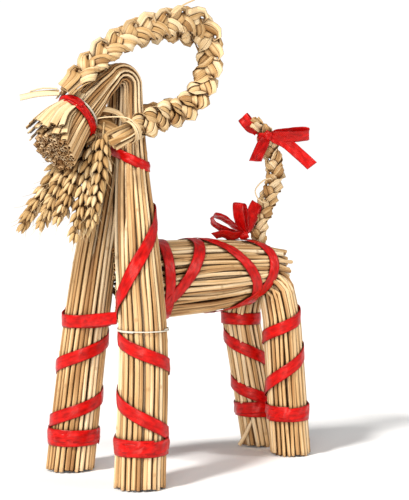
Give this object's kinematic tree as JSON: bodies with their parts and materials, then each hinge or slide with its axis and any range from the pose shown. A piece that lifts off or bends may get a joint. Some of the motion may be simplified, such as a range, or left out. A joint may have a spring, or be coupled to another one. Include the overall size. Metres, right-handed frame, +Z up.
{
  "type": "straw yule goat",
  "caption": "Standing yule goat of tied straw bundles with plaited straw horns and tail, a wheat-ear beard and red satin ribbons.",
  "frame": {"origin": "on the ground, under the middle of the goat's bounding box", "axes": "+Z up, the goat looks along -Y, its left side is +X"},
  "size_m": [0.1402, 0.2883, 0.3974],
  "materials": {
    "straw": "dry golden rye straw, satin stems with darker nodes",
    "plaited_straw": "flattened damp-plaited straw, satin",
    "wheat": "dry wheat ears, matt husks with bristles",
    "red_satin_ribbon": "red satin ribbon, soft sheen along the weave",
    "pale_thread": "thin off-white thread",
    "raffia": "split straw used as a tie, satin"
  },
  "bodies": {
    "root": {"back_bow": "red_satin_ribbon", "body_bundle": "straw", "body_ribbon": "red_satin_ribbon", "chest_ribbon": "red_satin_ribbon", "front_left_bundle": "straw", "front_left_leg_ribbon": "red_satin_ribbon", "front_left_leg_thread": "pale_thread", "front_right_bundle": "straw", "front_right_leg_ribbon": "red_satin_ribbon", "horn_straw_fan": "plaited_straw", "horn_stray_straw": "straw", "left_horn_plait": "plaited_straw", "left_horn_raffia": "raffia", "muzzle_bundle": "straw", "muzzle_flat_straw": "straw", "muzzle_ribbon": "red_satin_ribbon", "muzzle_thin_straw": "straw", "muzzle_thread": "pale_thread", "rear_left_bundle": "straw", "rear_left_leg_ribbon": "red_satin_ribbon", "rear_right_bundle": "straw", "rear_right_leg_ribbon": "red_satin_ribbon", "right_horn_plait": "plaited_straw", "right_horn_raffia": "raffia", "tail_bow": "red_satin_ribbon", "tail_plait": "plaited_straw", "tail_stray_fibre": "straw", "upper_neck_ribbon": "red_satin_ribbon", "wheat_ear_1": "wheat", "wheat_ear_2": "wheat", "wheat_ear_3": "wheat", "wheat_ear_4": "wheat", "wheat_ear_5": "wheat", "wheat_ear_6": "wheat"}
  },
  "joints": []
}
